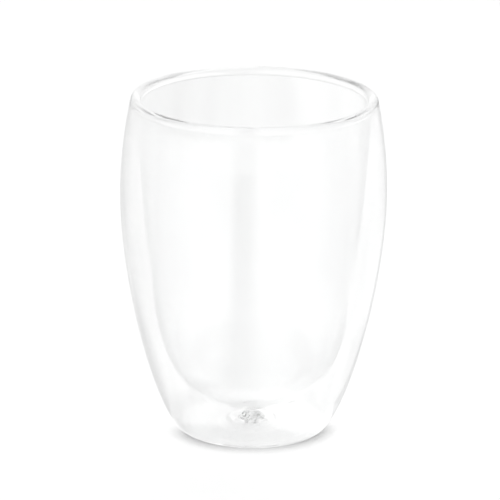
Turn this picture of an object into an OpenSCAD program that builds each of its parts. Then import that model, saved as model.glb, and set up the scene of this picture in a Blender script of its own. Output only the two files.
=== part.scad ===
// Double walled glass cup: an outer cup and an inner cup of clear glass, fused at the rim,
// with a still layer of air between them and a plugged vent in the base.
// Millimetres, +Z up, origin at the middle of the ring that the cup stands on.

/* [Cup] */
// Height from the table to the top of the rim
cup_h = 115; // [105:1:130]
// Largest outside diameter, at the belly
belly_d = 88.8; // [84:0.2:96]
// Height of the belly above the table
belly_z = 81.5; // [74:0.5:88]
// Lean of both outer curves where they reach the rim, inwards, in degrees
shoulder_lean = 11; // [6:0.5:14]

/* [Outer wall] */
// Thickness of the outer wall
outer_t = 1.5; // [1.2:0.1:2.4]
// How far the wall draws in from the belly to where it meets the rim bead
shoulder_in = 3.1; // [2:0.1:4.4]
// Outside diameter of the flat ring that the cup stands on
foot_d = 47.8; // [40:0.2:54]
// Width of that flat ring
foot_land = 1.2; // [0.8:0.1:2]
// Radius of the round heel between the foot and the side
heel_r = 2.1; // [1.6:0.1:3]
// Slope of the side where it leaves the heel, in degrees above the table
flank_slope = 49; // [42:1:56]

/* [Base] */
// Thickness of the base
base_t = 1.5; // [1.2:0.1:2]
// Rise of the underside between the foot ring and the dimple
foot_rise = 0.8; // [0.4:0.1:1.4]
// Diameter of the dimple in the middle of the underside
dimple_d = 18.4; // [16:0.2:24]
// Depth of the dimple
dimple_h = 1.0; // [0.8:0.1:1.6]
// Diameter of the flat seat inside the dimple
seat_d = 12; // [11:0.2:14]
// Diameter of the vent hole
vent_d = 4; // [3:0.1:5]

/* [Inner wall] */
// Thickness of the inner wall
liner_t = 1.4; // [1.2:0.1:2]
// Height of the inner cup's round bottom above the table
liner_z = 8.5; // [7:0.5:14]
// Lean of the inner wall at the rim, outwards, in degrees
liner_lean = 2.6; // [0:0.2:5]
// Width of the air gap just below the rim
lip_gap = 1.0; // [0.4:0.1:1.4]
// Depth of solid glass from the top of the rim down to the fused seam
rim_h = 3; // [2.6:0.1:4]

/* [Vent seal] */
// Diameter of the seal's head under the base
head_d = 9; // [8:0.2:10.5]
// Thickness of the head
head_t = 0.7; // [0.4:0.1:0.9]
// Diameter of the seal's lip above the base
lip_d = 6.4; // [6:0.2:8]
// Thickness of that lip
lip_t = 0.6; // [0.4:0.1:1]
// Gap all round between the stem and the vent hole
stem_gap = 0.05; // [0.02:0.01:0.1]

/* [Hidden] */

$fn = 180;

// Straight steps in each long curve, in each short curve and in each arc
long_steps = 28;
short_steps = 10;
arc_steps = 12;

// Length of each curve's two handles, as shares of the height that the curve spans
flank_shares = [0.16, 0.354];
shoulder_shares = [0.30, 0.37];
// The inner cup's first handle is a share of its radius at the rim, the second of its height
liner_shares = [0.795, 0.836];

// Angle at which the heel's arc leaves the foot ring
straight_down = -90;

// Colours of clear glass and of the clear plug
glass_tint = [0.86, 0.90, 0.91, 0.45];
inner_tint = [0.80, 0.87, 0.90, 0.45];
seal_tint = [0.93, 0.93, 0.91, 0.8];

belly_r = belly_d / 2;
seam_r = belly_r - shoulder_in;
foot_r = foot_d / 2;
vent_r = vent_d / 2;
seam_z = cup_h - rim_h;

// Radius of the outer wall's inside, the inner wall's outside and the drink space, all at the seam
outer_in_r = seam_r - outer_t / cos(shoulder_lean);
liner_r = outer_in_r - lip_gap;
mouth_r = liner_r - liner_t / cos(liner_lean);
groove_r = lip_gap / 2;

// The rim's crest is the circle that touches both leaning faces and the cup's full height
lean_pull = tan(shoulder_lean) + tan(liner_lean);
lean_reach = 1 / cos(shoulder_lean) + 1 / cos(liner_lean);
rim_r = (seam_r - mouth_r - rim_h * lean_pull) / (lean_reach - lean_pull);
crest_z = cup_h - rim_r;
crest_r = mouth_r + (crest_z - seam_z) * tan(liner_lean) + rim_r / cos(liner_lean);

// Heights of the dimple's seat and of the floor of the air gap above each part of the base
seat_z = foot_rise + dimple_h;
seat_top_z = seat_z + base_t;

function curve_point(p, t) =
    pow(1 - t, 3) * p[0] + 3 * pow(1 - t, 2) * t * p[1] + 3 * (1 - t) * pow(t, 2) * p[2] + pow(t, 3) * p[3];

function curve_slope(p, t) =
    pow(1 - t, 2) * (p[1] - p[0]) + 2 * (1 - t) * t * (p[2] - p[1]) + pow(t, 2) * (p[3] - p[2]);

// Unit vector to the left of direction v
function left_of(v) = [-v[1], v[0]] / norm(v);

// Points of a cubic curve moved to its left by wall, from its first step to its last
function curve(p, steps, wall = 0) =
    [for (i = [0:steps]) curve_point(p, i / steps) + wall * left_of(curve_slope(p, i / steps))];

// Points of an arc about c from angle a to angle b
function arc(c, r, a, b) =
    [for (i = [0:arc_steps]) c + r * [cos(a + (b - a) * i / arc_steps), sin(a + (b - a) * i / arc_steps)]];

// Soft step from p to q, level at both ends
function soft_step(p, q) =
    curve([p, [(p[0] + q[0]) / 2, p[1]], [(p[0] + q[0]) / 2, q[1]], q], short_steps);

function reversed(points) = [for (i = [len(points) - 1:-1:0]) points[i]];

// Outside of the outer wall, from the heel to the belly and from the belly to the seam
heel_end = [foot_r, heel_r] + heel_r * [sin(flank_slope), -cos(flank_slope)];
flank_h = belly_z - heel_end[1];
shoulder_h = seam_z - belly_z;
flank = [
    heel_end,
    heel_end + flank_shares[0] * flank_h * [cos(flank_slope), sin(flank_slope)],
    [belly_r, belly_z - flank_shares[1] * flank_h],
    [belly_r, belly_z]
];
shoulder = [
    [belly_r, belly_z],
    [belly_r, belly_z + shoulder_shares[0] * shoulder_h],
    [seam_r, seam_z] - shoulder_shares[1] * shoulder_h * [-sin(shoulder_lean), cos(shoulder_lean)],
    [seam_r, seam_z]
];

// Outside of the inner wall, from the middle of its round bottom to the seam
liner_h = seam_z - liner_z;
liner = [
    [0, liner_z],
    [liner_shares[0] * liner_r, liner_z],
    [liner_r, seam_z] - liner_shares[1] * liner_h * [sin(liner_lean), cos(liner_lean)],
    [liner_r, seam_z]
];

// Inside of the outer wall, kept where it stands clear of the small fillet at the gap's floor
fillet = base_t / 2;
inside = [
    for (q = concat(curve(flank, long_steps, outer_t), curve(shoulder, long_steps, outer_t)))
        if (q[1] > base_t + fillet && q[1] < seam_z) q
];
floor_corner = inside[0] + (inside[1] - inside[0]) * (base_t - inside[0][1]) / (inside[1][1] - inside[0][1]);
floor_edge = [floor_corner[0] - fillet, base_t];

// Underside of the base, from the vent hole out to the inner edge of the foot ring
underside = concat(
    [[vent_r, seat_z]],
    soft_step([seat_d / 2, seat_z], [dimple_d / 2, foot_rise]),
    soft_step([dimple_d / 2, foot_rise], [foot_r - foot_land, 0])
);

// Floor of the air gap, from the vent hole out to the side
gap_floor = concat(
    [[vent_r, seat_top_z]],
    soft_step([seat_d / 2, seat_top_z], [dimple_d / 2, foot_rise + base_t]),
    soft_step([dimple_d / 2, foot_rise + base_t], floor_edge),
    curve([floor_edge, floor_corner, floor_corner, inside[0]], short_steps)
);

// Outer cup: foot, base with its dimple and vent, belly, and the edge that the rim is fused to
module outer_wall() {
    color(glass_tint)
        rotate_extrude()
            polygon(concat(
                underside,
                arc([foot_r, heel_r], heel_r, straight_down, straight_down + flank_slope),
                curve(flank, long_steps),
                curve(shoulder, long_steps),
                [[outer_in_r, seam_z]],
                reversed(inside),
                reversed(gap_floor)
            ));
}

// Inner cup: round bottom, plain side, and the rounded rim bead turned out over the outer cup's edge
module inner_wall() {
    color(inner_tint)
        rotate_extrude()
            polygon(concat(
                curve(liner, long_steps),
                arc([(liner_r + outer_in_r) / 2, seam_z], groove_r, 180, 0),
                [[seam_r, seam_z]],
                arc([crest_r, crest_z], rim_r, shoulder_lean, 180 - liner_lean),
                reversed(curve(liner, long_steps, liner_t))
            ));
}

// Clear plug of the vent: head in the dimple, stem through the hole, lip on the floor of the air gap
module vent_seal() {
    stem_r = vent_r - stem_gap;
    color(seal_tint) {
        union() {
            translate([0, 0, seat_z - head_t])
                cylinder(h = head_t, d = head_d);
            translate([0, 0, seat_z - head_t])
                cylinder(h = head_t + base_t + lip_t, r = stem_r);
            translate([0, 0, seat_top_z])
                cylinder(h = lip_t, d = lip_d);
        }
    }
}

outer_wall();
inner_wall();
vent_seal();
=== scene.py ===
import math

import bmesh
import bpy
from mathutils import Matrix, Vector
from mathutils.geometry import interpolate_bezier


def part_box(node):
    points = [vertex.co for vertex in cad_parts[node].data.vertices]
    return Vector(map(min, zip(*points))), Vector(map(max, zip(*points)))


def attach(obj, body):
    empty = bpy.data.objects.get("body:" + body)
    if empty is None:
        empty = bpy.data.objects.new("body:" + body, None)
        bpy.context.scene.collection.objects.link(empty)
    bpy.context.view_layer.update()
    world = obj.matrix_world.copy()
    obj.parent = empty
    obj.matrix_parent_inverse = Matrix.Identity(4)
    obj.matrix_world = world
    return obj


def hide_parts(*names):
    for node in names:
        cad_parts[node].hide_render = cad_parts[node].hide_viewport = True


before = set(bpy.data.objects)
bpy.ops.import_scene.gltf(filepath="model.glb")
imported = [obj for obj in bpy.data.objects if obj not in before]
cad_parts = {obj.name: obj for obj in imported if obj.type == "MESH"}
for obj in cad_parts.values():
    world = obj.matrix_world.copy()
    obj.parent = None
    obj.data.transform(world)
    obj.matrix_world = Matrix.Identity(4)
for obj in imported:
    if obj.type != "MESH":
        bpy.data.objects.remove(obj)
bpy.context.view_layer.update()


# Outer cup
# The bulging shell that the hand holds, blown from borosilicate tube. It stands on a flat ring,
# and the thin base inside that ring is pressed up into a shallow dimple round the vent hole.
outer_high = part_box("outer_wall")[1]
seam_height = outer_high.z
belly_radius = outer_high.x
belly_height = 0.0815
shoulder_lean = math.radians(11)
seam_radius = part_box("inner_wall")[1].x
outer_thickness = 0.0015
foot_radius = 0.0239
foot_land = 0.0012
heel_radius = 0.0021
flank_slope = math.radians(49)
base_thickness = 0.0015
foot_rise = 0.0008
dimple_radius = 0.0092
dimple_depth = 0.001
seat_radius = 0.006
vent_radius = 0.002

# Length of each curve's two handles, as shares of the height that the curve spans
flank_shares = (0.16, 0.354)
shoulder_shares = (0.30, 0.37)

# Points along each curve, steps in a quarter of a turn, and the angle from which an edge is sharp
heel_points = 14
flank_points = 54
shoulder_points = 26
step_points = 13
corner_points = 10
quarter_steps = 72
sharp_angle = math.radians(35)

# Distances under which two points of an outline, or two corners of a mesh, are one
same_point = 1e-6
same_corner = 1e-7


def soft_step(first, last):
    """A step between two points of an outline, level at both ends."""
    middle = (first.x + last.x) / 2
    handles = Vector((middle, first.y)), Vector((middle, last.y))
    return interpolate_bezier(first, *handles, last, step_points)


def arc(centre, radius, start, end, points):
    angles = [start + (end - start) * i / (points - 1) for i in range(points)]
    return [centre + radius * Vector((math.cos(a), math.sin(a))) for a in angles]


def thickened(line, thickness):
    """The line that runs beside this one, a wall's thickness to its left."""
    beside = []
    for i, point in enumerate(line):
        along = line[min(i + 1, len(line) - 1)] - line[max(i - 1, 0)]
        beside.append(point + thickness * Vector((-along.y, along.x)).normalized())
    return beside


def without_repeats(outline):
    kept = outline[:1]
    for point in outline[1:]:
        if (point - kept[-1]).length > same_point:
            kept.append(point)
    return kept


def turned(name, outline, closed):
    """A piece turned on the cup's axis from its outline, given as (radius, height) pairs."""
    bm = bmesh.new()
    verts = [bm.verts.new((point.x, 0, point.y)) for point in without_repeats(outline)]
    edges = [bm.edges.new(pair) for pair in zip(verts, verts[1:])]
    if closed:
        edges.append(bm.edges.new((verts[-1], verts[0])))
    bmesh.ops.spin(
        bm, geom=verts + edges, axis=(0, 0, 1), cent=(0, 0, 0), dvec=(0, 0, 0),
        angle=math.pi / 2, steps=quarter_steps, space=Matrix.Identity(4), use_merge=False,
        use_normal_flip=False, use_duplicate=False,
    )
    for axis in ("X", "Y"):
        bmesh.ops.mirror(
            bm, geom=bm.verts[:] + bm.edges[:] + bm.faces[:], matrix=Matrix.Identity(4),
            merge_dist=same_corner, axis=axis, mirror_u=False, mirror_v=False, mirror_udim=False,
        )
    bmesh.ops.remove_doubles(bm, verts=bm.verts, dist=same_corner)
    bmesh.ops.recalc_face_normals(bm, faces=bm.faces)
    for face in bm.faces:
        face.smooth = True
    for edge in bm.edges:
        edge.smooth = edge.calc_face_angle(0) < sharp_angle
    mesh = bpy.data.meshes.new(name)
    bm.to_mesh(mesh)
    bm.free()
    piece = bpy.data.objects.new(name, mesh)
    bpy.context.scene.collection.objects.link(piece)
    return piece


# Outside of the wall, from the foot ring up to the seam
heel_centre = Vector((foot_radius, heel_radius))
heel = arc(heel_centre, heel_radius, -math.pi / 2, flank_slope - math.pi / 2, heel_points)
flank_rise = belly_height - heel[-1].y
up_the_flank = Vector((math.cos(flank_slope), math.sin(flank_slope)))
flank = interpolate_bezier(
    heel[-1],
    heel[-1] + flank_shares[0] * flank_rise * up_the_flank,
    Vector((belly_radius, belly_height - flank_shares[1] * flank_rise)),
    Vector((belly_radius, belly_height)), flank_points,
)
shoulder_rise = seam_height - belly_height
seam_outside = Vector((seam_radius, seam_height))
down_the_shoulder = Vector((math.sin(shoulder_lean), -math.cos(shoulder_lean)))
shoulder = interpolate_bezier(
    flank[-1],
    flank[-1] + Vector((0, shoulder_shares[0] * shoulder_rise)),
    seam_outside + shoulder_shares[1] * shoulder_rise * down_the_shoulder,
    seam_outside, shoulder_points,
)
side = without_repeats(heel + flank + shoulder)

# Inside of the wall, with a small fillet where it meets the floor of the air gap
seam_inside = Vector((seam_radius - outer_thickness / math.cos(shoulder_lean), seam_height))
fillet = base_thickness / 2
side_inside = [
    point for point in thickened(side, outer_thickness)
    if base_thickness + fillet < point.y < seam_height
]
foot_of_side = side_inside[0]
slope = side_inside[1] - side_inside[0]
corner = foot_of_side + slope * (base_thickness - foot_of_side.y) / slope.y
floor_edge = Vector((corner.x - fillet, base_thickness))
gap_corner = interpolate_bezier(floor_edge, corner, corner, foot_of_side, corner_points)

# Underside of the base and the floor of the air gap above it, from the vent hole outwards
seat_height = foot_rise + dimple_depth
vent_edge = Vector((vent_radius, seat_height))
seat_edge = Vector((seat_radius, seat_height))
dimple_edge = Vector((dimple_radius, foot_rise))
foot_edge = Vector((foot_radius - foot_land, 0))
up = Vector((0, base_thickness))
underside = [vent_edge] + soft_step(seat_edge, dimple_edge) + soft_step(dimple_edge, foot_edge)
gap_floor = (
    [vent_edge + up]
    + soft_step(seat_edge + up, dimple_edge + up)
    + soft_step(dimple_edge + up, floor_edge)
    + gap_corner
)
outline = underside + side + [seam_inside] + side_inside[::-1] + gap_floor[::-1]
outer_cup = turned("outer_cup", outline, closed=True)

# Tint of the clear glass, and its ripple in waves per metre, which fades out just below the seam
glass_tint = (0.998, 0.999, 0.999, 1)
ripple_scale = (90, 90, 5)
ripple_fade = 0.004


def clear_glass(name, ripple_depth):
    """Clear borosilicate, with the faint upright ripple that drawn tube keeps."""
    material = bpy.data.materials.new(name)
    material.use_nodes = True
    nodes = material.node_tree.nodes
    shader = nodes["Principled BSDF"]
    shader.inputs["Base Color"].default_value = glass_tint
    shader.inputs["Roughness"].default_value = 0
    shader.inputs["IOR"].default_value = 1.473
    shader.inputs["Transmission Weight"].default_value = 1
    place = nodes.new("ShaderNodeTexCoord").outputs["Object"]
    drawn_out = nodes.new("ShaderNodeMapping")
    drawn_out.inputs["Scale"].default_value = ripple_scale
    ripple = nodes.new("ShaderNodeTexNoise")
    ripple.inputs["Scale"].default_value = 1
    ripple.inputs["Detail"].default_value = 1
    relief = nodes.new("ShaderNodeBump")
    relief.inputs["Distance"].default_value = ripple_depth
    place_parts = nodes.new("ShaderNodeSeparateXYZ")
    wall_only = nodes.new("ShaderNodeMapRange")
    wall_only.inputs["From Min"].default_value = seam_height - ripple_fade
    wall_only.inputs["From Max"].default_value = seam_height
    wall_only.inputs["To Min"].default_value = 1
    wall_only.inputs["To Max"].default_value = 0
    links = material.node_tree.links
    links.new(place, place_parts.inputs[0])
    links.new(place_parts.outputs["Z"], wall_only.inputs["Value"])
    links.new(wall_only.outputs["Result"], relief.inputs["Strength"])
    links.new(place, drawn_out.inputs["Vector"])
    links.new(drawn_out.outputs["Vector"], ripple.inputs["Vector"])
    links.new(ripple.outputs["Fac"], relief.inputs["Height"])
    links.new(relief.outputs["Normal"], shader.inputs["Normal"])
    return material


def fused_glass():
    """The buried seam, where the melted glass has no surface of its own."""
    material = bpy.data.materials.new("fused_seam")
    material.use_nodes = True
    shader = material.node_tree.nodes["Principled BSDF"]
    shader.inputs["Alpha"].default_value = 0
    return material


def add_seam(piece):
    """Gives the flat ring where the two cups are melted together the fused glass."""
    piece.data.materials.append(fused_glass())
    nearly_level = 0.99
    for face in piece.data.polygons:
        from_axis = math.hypot(face.center.x, face.center.y)
        at_seam = abs(face.center.z - seam_height) < same_point
        on_ring = seam_inside.x < from_axis < seam_outside.x
        if at_seam and on_ring and abs(face.normal.z) > nearly_level:
            face.material_index = 1


outer_cup.data.materials.append(clear_glass("outer_glass", ripple_depth=0.00005))
add_seam(outer_cup)
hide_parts("outer_wall")
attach(outer_cup, "root")


# Inner cup
# The narrower cup that holds the drink, with a round bottom that hangs clear of the base. Its lip
# is turned out over the outer cup's edge, and flame draws the two together into one rounded bead.
liner_low, rim_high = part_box("inner_wall")
rim_height = rim_high.z
liner_height = liner_low.z
liner_thickness = 0.0014
liner_lean = math.radians(2.6)
lip_gap = 0.001
liner_points = 84
groove_points = 12
bead_points = 30

# The first handle is a share of the radius at the rim, the second a share of the height
liner_shares = (0.795, 0.836)

# The bead's crest is the circle that touches both leaning faces and the cup's full height
liner_radius = seam_inside.x - lip_gap
mouth_radius = liner_radius - liner_thickness / math.cos(liner_lean)
rim_depth = rim_height - seam_height
lean_pull = math.tan(shoulder_lean) + math.tan(liner_lean)
lean_reach = 1 / math.cos(shoulder_lean) + 1 / math.cos(liner_lean)
crest_radius = (seam_radius - mouth_radius - rim_depth * lean_pull) / (lean_reach - lean_pull)
mouth_at_crest = mouth_radius + (rim_depth - crest_radius) * math.tan(liner_lean)
crest = Vector((mouth_at_crest + crest_radius / math.cos(liner_lean), rim_height - crest_radius))

liner_rise = seam_height - liner_height
liner_top = Vector((liner_radius, seam_height))
up_the_liner = Vector((math.sin(liner_lean), math.cos(liner_lean)))
liner = interpolate_bezier(
    Vector((0, liner_height)),
    Vector((liner_shares[0] * liner_radius, liner_height)),
    liner_top - liner_shares[1] * liner_rise * up_the_liner,
    liner_top, liner_points,
)
drink_side = thickened(liner, liner_thickness)
drink_side[0].x = 0
groove = arc((liner_top + seam_inside) / 2, lip_gap / 2, math.pi, 0, groove_points)
bead = arc(crest, crest_radius, shoulder_lean, math.pi - liner_lean, bead_points)
outline = liner + groove + [seam_outside] + bead + drink_side[::-1]
inner_cup = turned("inner_cup", outline, closed=False)
inner_cup.data.materials.append(clear_glass("inner_glass", ripple_depth=0.00015))
add_seam(inner_cup)
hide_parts("inner_wall")
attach(inner_cup, "root")


# Vent seal
# A clear silicone plug pushed into the vent hole from below once the rim is fused: a thin head in
# the dimple, a stem through the hole and a small lip that holds it above the base.
seal_low, seal_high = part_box("vent_seal")
head_radius = seal_high.x
lip_radius = 0.0032
stem_gap = 0.00005
stem_radius = vent_radius - stem_gap
edge = 0.0002
edge_points = 6

# A film of air keeps the silicone's faces off the glass
film = 0.00002
under = seat_height - film
above = seat_height + base_thickness + film
outline = (
    [Vector((0, seal_low.z))]
    + arc(Vector((head_radius - edge, seal_low.z + edge)), edge, -math.pi / 2, 0, edge_points)
    + arc(Vector((head_radius - edge, under - edge)), edge, 0, math.pi / 2, edge_points)
    + [Vector((stem_radius, under)), Vector((stem_radius, above)), Vector((lip_radius, above))]
    + arc(Vector((lip_radius - edge, seal_high.z - edge)), edge, 0, math.pi / 2, edge_points)
    + [Vector((0, seal_high.z))]
)
plug = turned("vent_plug", outline, closed=False)
silicone = bpy.data.materials.new("silicone")
silicone.use_nodes = True
shader = silicone.node_tree.nodes["Principled BSDF"]
shader.inputs["Base Color"].default_value = (0.93, 0.935, 0.93, 1)
shader.inputs["Roughness"].default_value = 0.3
shader.inputs["IOR"].default_value = 1.41
shader.inputs["Transmission Weight"].default_value = 0.9
plug.data.materials.append(silicone)
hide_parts("vent_seal")
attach(plug, "root")


# Table
# A plain white surface that runs far behind the cup, so that it is the whole background. It is
# clean white to the camera, and to the glass it is painted with the soft grey shade and light of a
# light tent.
table_reach = 3
table_drop = 0.00005
bm = bmesh.new()
bmesh.ops.create_grid(bm, x_segments=1, y_segments=1, size=table_reach)
bmesh.ops.translate(bm, verts=bm.verts, vec=(0, 0, -table_drop))
mesh = bpy.data.meshes.new("table")
bm.to_mesh(mesh)
bm.free()
table = bpy.data.objects.new("table", mesh)
bpy.context.scene.collection.objects.link(table)
white = bpy.data.materials.new("white_table")
white.use_nodes = True
paint = white.node_tree


def node(tree, kind, **settings):
    """A new shader node with its settings made."""
    made = tree.nodes.new(kind)
    for name, value in settings.items():
        setattr(made, name, value)
    return made


def feed(tree, target, *sources):
    """Joins each source to the input beside it, or writes it there if it is a plain value."""
    for socket, source in zip(target.inputs, sources):
        if isinstance(source, bpy.types.NodeSocket):
            tree.links.new(source, socket)
        else:
            socket.default_value = source
    return target.outputs[0]


def maths(tree, operation, first, second=0):
    return feed(tree, node(tree, "ShaderNodeMath", operation=operation), first, second)


def product(tree, first, *others):
    for other in others:
        first = maths(tree, "MULTIPLY", first, other)
    return first


def soft_edge(tree, value, span, levels):
    """Goes softly from the first level to the second as value goes through the span."""
    ramp = node(tree, "ShaderNodeMapRange", interpolation_type="SMOOTHSTEP")
    return feed(tree, ramp, value, *span, *levels)


# Metres across and along the table and from the cup's axis, and the angle round it from the front
place = node(paint, "ShaderNodeTexCoord").outputs["Object"]
place_parts = node(paint, "ShaderNodeSeparateXYZ")
feed(paint, place_parts, place)
across = place_parts.outputs["X"]
along = place_parts.outputs["Y"]
from_cup = node(paint, "ShaderNodeVectorMath", operation="LENGTH")
feed(paint, from_cup, place)
from_cup = from_cup.outputs["Value"]
round_cup = maths(paint, "ARCTAN2", across, maths(paint, "MULTIPLY", along, -1))


def off(value, middle):
    """How far a value on the table is from its middle, to either side."""
    return maths(paint, "ABSOLUTE", maths(paint, "ADD", value, -middle))


def soft_line(value, middle, half_width, level):
    """A thin line of another level where a value on the table is at its middle."""
    return soft_edge(paint, off(value, middle), span=(0, half_width), levels=(level, 1))


def slanting(share):
    """Metres across the table, read along lines that slant by this share of the way back."""
    return maths(paint, "ADD", across, maths(paint, "MULTIPLY", along, share))


# The tones that show through the glass are painted shade and light, as shares of white. First the
# grey strips of painted shade on both sides, which run from front to back
strip_reach = 0.4
strips = node(paint, "ShaderNodeValToRGB")
strips.color_ramp.interpolation = "B_SPLINE"
strip_scale = node(paint, "ShaderNodeMapRange")
feed(paint, strips, feed(paint, strip_scale, across, -strip_reach, strip_reach, 0, 1))
stops = strips.color_ramp.elements
stops[0].color = stops[1].color = (1, 1, 1, 1)
for side_step, level in (
    (-0.37, 0.94), (-0.3, 0.87), (-0.2, 0.86), (-0.135, 0.81), (-0.1, 0.96), (-0.07, 1),
    (-0.05, 1), (-0.02, 1.01), (0.07, 1.03), (0.105, 1), (0.132, 0.87), (0.15, 0.83),
    (0.27, 0.83), (0.34, 0.95),
):
    stop = stops.new((side_step + strip_reach) / (2 * strip_reach))
    stop.color = (level, level, level, 1)
strips = strips.outputs["Color"]

# Less light under the cup, most of all at the left, and the thin rings of light that the foot and
# the dimple gather
to_left = soft_edge(paint, along, span=(-0.009, 0), levels=(0.8, 0.92))
to_right = soft_edge(paint, along, span=(-0.014, -0.008), levels=(0.84, 0.99))
under_cup = soft_edge(paint, slanting(0.75), span=(-0.004, 0.016), levels=(to_left, to_right))
under_cup = soft_edge(paint, from_cup, span=(0.032, 0.044), levels=(under_cup, 1))
for ring, half_width, level in ((0.0205, 0.0007, 1.06), (0.0108, 0.0009, 1.1)):
    under_cup = product(paint, under_cup, soft_line(from_cup, ring, half_width, level))

# Less light close beside the cup, which is gone again further back
to_left = soft_edge(paint, slanting(0.35), span=(-0.036, -0.016), levels=(0.79, 1))
to_left = soft_edge(paint, along, span=(0.07, 0.13), levels=(to_left, 1))
to_right = soft_edge(paint, slanting(-0.2), span=(0.029, 0.04), levels=(1, 0.82))
to_right = soft_edge(paint, along, span=(0.06, 0.09), levels=(to_right, 1))
beside_cup = product(paint, to_left, to_right)
beside_cup = soft_edge(paint, along, span=(-0.06, -0.015), levels=(1, beside_cup))
near_cup = product(paint, under_cup, beside_cup)

# Far behind the cup the table grows dim, and it is a little lighter at the back left
far_tone = soft_edge(paint, along, span=(0.52, 0.8), levels=(1, 0.5))
back_left = soft_edge(paint, across, span=(-0.13, -0.08), levels=(1.05, 1))
back_left = soft_edge(paint, along, span=(0.24, 0.32), levels=(1, back_left))

# Painted shade: a grey strip straight behind the cup, and behind that a greyer backdrop with soft
# streaks
middle = soft_edge(paint, off(across, -0.0045), span=(0.001, 0.012), levels=(0.915, 1))
middle = soft_edge(paint, along, span=(-0.04, 0.01), levels=(1, middle))
backdrop = soft_edge(paint, across, span=(-0.05, 0), levels=(0.91, 0.945))
backdrop = soft_edge(paint, across, span=(0.018, 0.032), levels=(backdrop, 1))
backdrop = soft_edge(paint, across, span=(-0.12, -0.07), levels=(1.01, backdrop))
for streak, half_width, level in (
    (-0.045, 0.007, 0.98), (-0.024, 0.008, 0.97), (0.019, 0.009, 0.98),
):
    backdrop = product(paint, backdrop, soft_line(across, streak, half_width, level))
backdrop = soft_edge(paint, along, span=(0.33, 0.4), levels=(middle, backdrop))

# Painted reflection, the tones that the glass mirrors: dark to the back on both sides and brighter
# round towards the front, a slightly dimmer far end, and the gap between the lights below the
# camera
side_edge = 0.04
gap = soft_edge(paint, off(round_cup, -0.14), span=(0.04, 0.24), levels=(0.15, 1))
gap = soft_edge(paint, from_cup, span=(0.05, 0.16), levels=(1, gap))
past_right = maths(paint, "MAXIMUM", maths(paint, "ADD", across, -side_edge))
turn_right = maths(paint, "ARCTAN2", past_right, along)
to_right = soft_edge(paint, turn_right, span=(0.33, 0.57), levels=(0.66, 1.15))
past_left = maths(paint, "MAXIMUM", maths(paint, "SUBTRACT", -side_edge, across))
turn_left = maths(paint, "ARCTAN2", past_left, along)
to_left = soft_edge(paint, turn_left, span=(0.7, 1.9), levels=(0.68, 1.1))
mirrored = soft_edge(paint, across, span=(-0.03, 0.03), levels=(to_left, to_right))
far_mirrored = soft_edge(paint, across, span=(-0.08, 0), levels=(0.9, 0.95))
far_mirrored = soft_edge(paint, along, span=(0.4, 0.48), levels=(1, far_mirrored))

# The contact shadow: deeper to the left and right of the front, and gone behind the cup's sides
shadow_reach = 0.006
shadow_middle = 0.12
contact = node(paint, "ShaderNodeAmbientOcclusion", samples=16)
contact.inputs["Distance"].default_value = shadow_reach
hidden_sky = maths(paint, "SUBTRACT", 1, contact.outputs["AO"])
hidden_sky = maths(paint, "POWER", hidden_sky, 2)
off_front = off(round_cup, shadow_middle)
depth = soft_edge(paint, off_front, span=(0.1, 0.95), levels=(0.55, 0.8))
depth = soft_edge(paint, off_front, span=(1.08, 1.66), levels=(depth, 0))
shade = maths(paint, "SUBTRACT", 1, product(paint, hidden_sky, depth))

# The camera sees white with the painted contact shadow, the glass shows the painted tones, and
# anything else is lit by plain white. The lift is a glow of the table in these painted tones,
# which brings its lit white up to clean white
lift = 0.348
ray = node(paint, "ShaderNodeLightPath")
to_camera = ray.outputs["Is Camera Ray"]
through_glass = ray.outputs["Is Transmission Ray"]
to_glass = ray.outputs["Is Glossy Ray"]
to_mirror = maths(paint, "SUBTRACT", to_glass, through_glass)
to_others = maths(paint, "SUBTRACT", 1, to_camera)
to_others = maths(paint, "SUBTRACT", to_others, to_glass)
seen_open = product(paint, shade, to_camera)
seen_mirrored = product(paint, mirrored, gap, far_mirrored, to_mirror)
seen_through = product(paint, strips, near_cup, far_tone, back_left, backdrop, through_glass)
seen = maths(paint, "ADD", seen_open, seen_mirrored)
seen = maths(paint, "ADD", seen, seen_through)
shader = paint.nodes["Principled BSDF"]
paint.links.new(maths(paint, "ADD", seen, to_others), shader.inputs["Base Color"])
shader.inputs["Roughness"].default_value = 1
shader.inputs["Specular IOR Level"].default_value = 0
shader.inputs["Emission Color"].default_value = (1, 1, 1, 1)
paint.links.new(maths(paint, "MULTIPLY", seen, lift), shader.inputs["Emission Strength"])
table.data.materials.append(white)


# Light and camera
# Soft white light as in a light tent: a bright patch high behind the cup, a white card low on each
# side and in front, darker panels halfway up the sides, and a dimmer roof.
world = bpy.data.worlds.new("tent")
bpy.context.scene.world = world
world.use_nodes = True
tent = world.node_tree
toward = node(tent, "ShaderNodeTexCoord").outputs["Generated"]
toward_parts = node(tent, "ShaderNodeSeparateXYZ")
feed(tent, toward_parts, toward)
height = toward_parts.outputs["Z"]


def patch_of_light(direction, full, gone, strength):
    """A soft round patch of light, full within one angle of its middle and gone at another."""
    facing = node(tent, "ShaderNodeVectorMath", operation="DOT_PRODUCT")
    feed(tent, facing, toward, Vector(direction).normalized())
    span = math.cos(math.radians(gone)), math.cos(math.radians(full))
    return soft_edge(tent, facing.outputs["Value"], span, levels=(0, strength))


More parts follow.
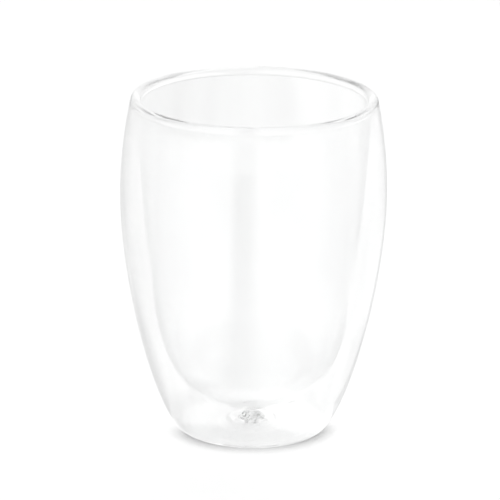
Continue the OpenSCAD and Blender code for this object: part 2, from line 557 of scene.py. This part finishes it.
left_card = patch_of_light((-0.95, -0.3, 0), full=20, gone=62, strength=0.34)
right_card = patch_of_light((0.95, -0.3, 0), full=20, gone=62, strength=0.3)
front_card = patch_of_light((0.1, -0.99, 0.1), full=30, gone=65, strength=0.4)
back_light = patch_of_light((0.05, 0.87, 0.5), full=18, gone=42, strength=0.45)
left_panel = patch_of_light((-0.94, 0.34, 0.5), full=30, gone=50, strength=1.1)
right_panel = patch_of_light((0.9, -0.3, 0.45), full=28, gone=54, strength=0.8)
panel_depth = 0.56

side_card_top = soft_edge(tent, height, span=(0.12, 0.42), levels=(1, 0))
front_card_top = soft_edge(tent, height, span=(0.3, 0.6), levels=(1, 0))
walls_to_roof = soft_edge(tent, height, span=(0.5, 0.95), levels=(0.72, 0.6))
panel_foot = soft_edge(tent, height, span=(0.24, 0.34), levels=(0, 1))
panel_top = soft_edge(tent, height, span=(0.58, 0.68), levels=(1, 0))

cards = product(tent, maths(tent, "ADD", left_card, right_card), side_card_top)
cards = maths(tent, "ADD", cards, product(tent, front_card, front_card_top))
panels = product(tent, panel_foot, panel_top)
panels = product(tent, panels, maths(tent, "ADD", left_panel, right_panel), panel_depth)
brightness = maths(tent, "ADD", back_light, cards)
brightness = maths(tent, "ADD", brightness, walls_to_roof)
brightness = maths(tent, "SUBTRACT", brightness, panels)
tent.links.new(brightness, tent.nodes["Background"].inputs["Strength"])
tent.nodes["Background"].inputs["Color"].default_value = (1, 1, 1, 1)

camera_data = bpy.data.cameras.new("camera")
camera_data.sensor_width = 36
camera_data.lens = 236.5
camera_data.clip_start = 0.01
camera_data.clip_end = 20
camera = bpy.data.objects.new("camera", camera_data)
bpy.context.scene.collection.objects.link(camera)
distance = 1.1
tilt = math.radians(17.711)
roll = math.radians(0.548)
aim = Vector((-0.001, 0, 0.0616))
back = Vector((0, -math.cos(tilt), math.sin(tilt)))
camera.location = aim + distance * back
look = (-back).to_track_quat("-Z", "Y").to_matrix().to_4x4()
camera.rotation_euler = (look @ Matrix.Rotation(roll, 4, "Z")).to_euler()
bpy.context.scene.camera = camera

# Light passes many faces of the glass, so no path through it is cut short
many_bounces = 1024
bpy.context.scene.view_settings.view_transform = "Standard"
bpy.context.scene.cycles.blur_glossy = 0
bpy.context.scene.cycles.denoising_input_passes = "RGB"
bpy.context.scene.cycles.max_bounces = many_bounces
bpy.context.scene.cycles.transmission_bounces = many_bounces
bpy.context.scene.cycles.glossy_bounces = many_bounces
bpy.context.scene.cycles.transparent_max_bounces = many_bounces
